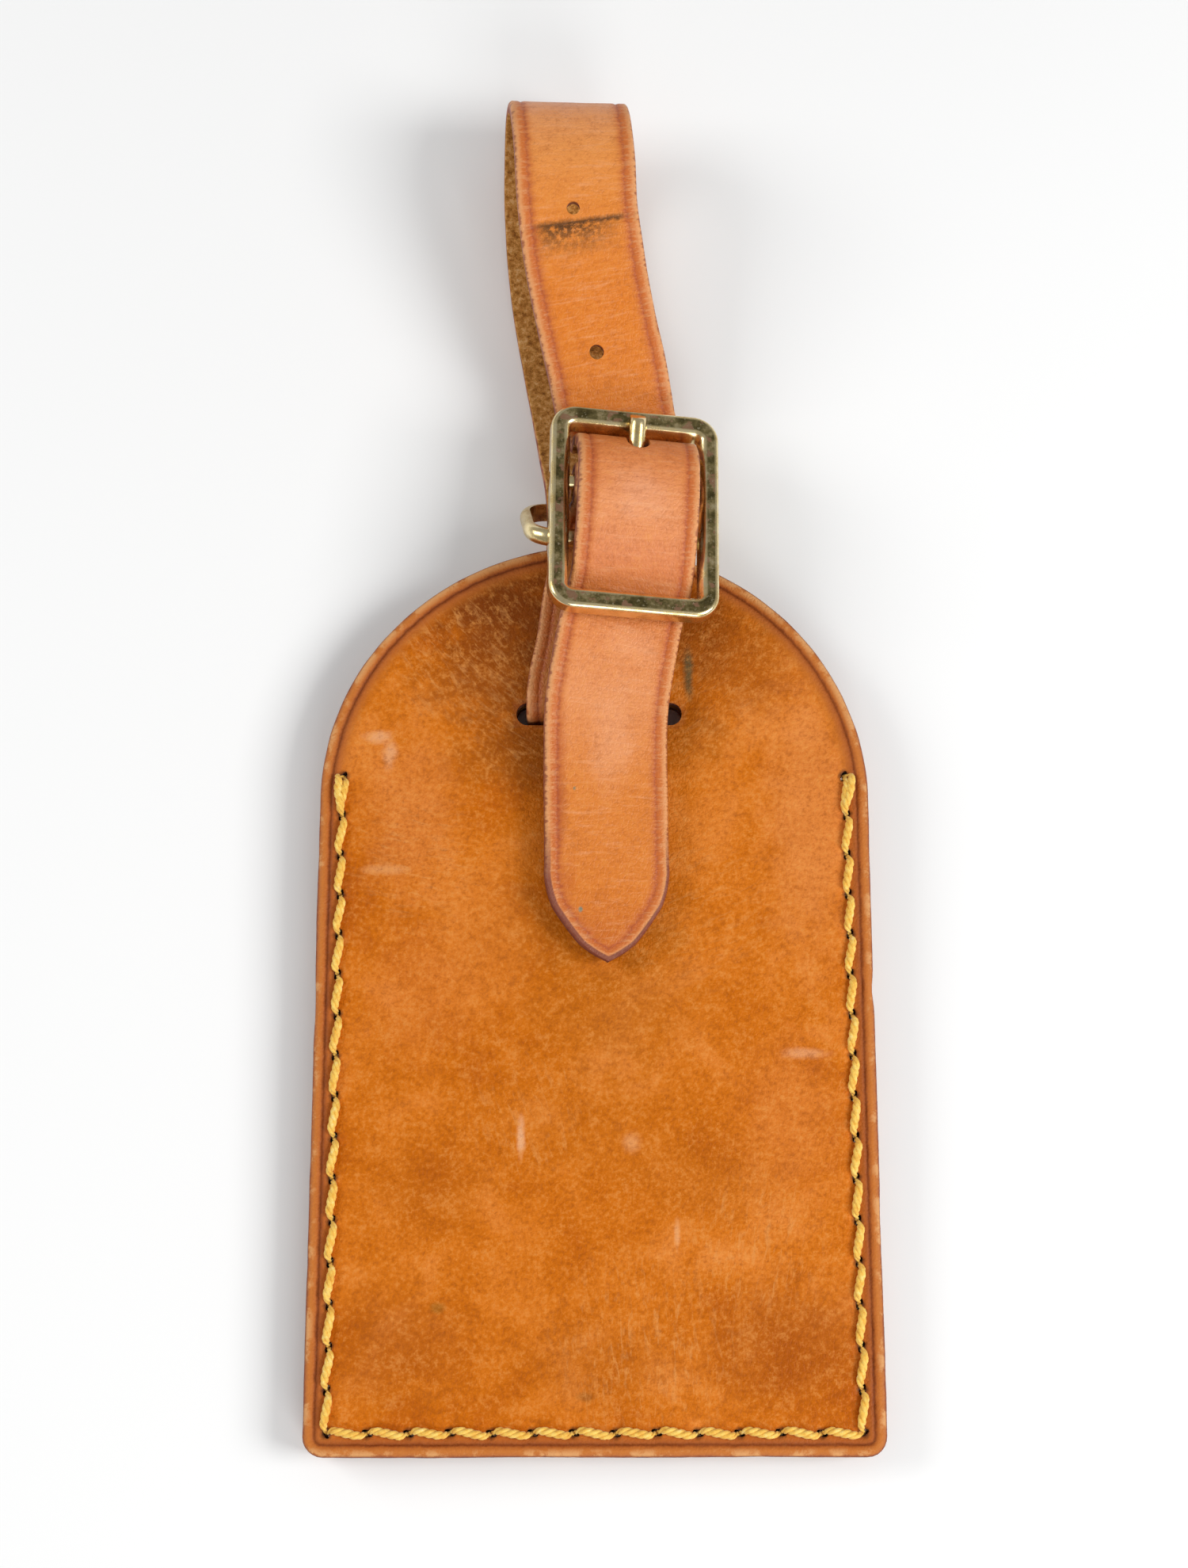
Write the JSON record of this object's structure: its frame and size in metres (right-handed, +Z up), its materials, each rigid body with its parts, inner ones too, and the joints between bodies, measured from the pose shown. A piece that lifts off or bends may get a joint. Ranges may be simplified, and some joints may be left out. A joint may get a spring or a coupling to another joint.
{
  "type": "luggage tag",
  "caption": "Leather luggage tag: two sewn arched panels with a card pocket, on a looped strap with a small brass buckle and keeper ring.",
  "frame": {"origin": "on the surface that the tag lies on, below the middle of its box", "axes": "+Y from the sewn bottom edge to the strap's loop, +Z up out of the front panel, +X to the right seen from the front"},
  "size_m": [0.07, 0.1726, 0.018],
  "materials": {
    "tag_leather": "waxed vegetable-tanned leather with burnished edges",
    "strap_leather": "vegetable-tanned strap leather, softly worn",
    "card_stock": "uncoated card",
    "waxed_thread": "three-ply waxed thread",
    "brass": "polished brass, tarnished"
  },
  "bodies": {
    "tag": {"front_panel": "tag_leather", "rear_panel": "tag_leather", "face_thread": "waxed_thread", "back_thread": "waxed_thread"},
    "card": {"address_card": "card_stock"},
    "strap": {"strap": "strap_leather"},
    "buckle": {"buckle_frame": "brass", "centre_bar": "brass"},
    "prong": {"prong": "brass"},
    "keeper": {"keeper_ring": "brass"}
  },
  "joints": [
    {"name": "card_slide", "type": "slide", "parent": "tag", "child": "card", "axis": [0, 0.9999, 0.0133], "range_m": [0, 0.0006]},
    {"name": "strap_shift", "type": "slide", "parent": "tag", "child": "strap", "axis": [1, 0, 0], "range_m": [-0.0008, 0.0035]},
    {"name": "buckle_tilt", "type": "hinge", "parent": "strap", "child": "buckle", "pos_m": [0.00496, 0.03289, 0.0114], "axis": [0.9839, -0.0406, -0.1742], "range_deg": [-1.5, 1]},
    {"name": "prong_lift", "type": "hinge", "parent": "buckle", "child": "prong", "pos_m": [0.00496, 0.03289, 0.0114], "axis": [0.9839, -0.0406, -0.1742], "range_deg": [0, 12]},
    {"name": "keeper_slide", "type": "slide", "parent": "strap", "child": "keeper", "axis": [0.1191, 0.8057, 0.5803], "range_m": [-0.0006, 0.0001]}
  ]
}
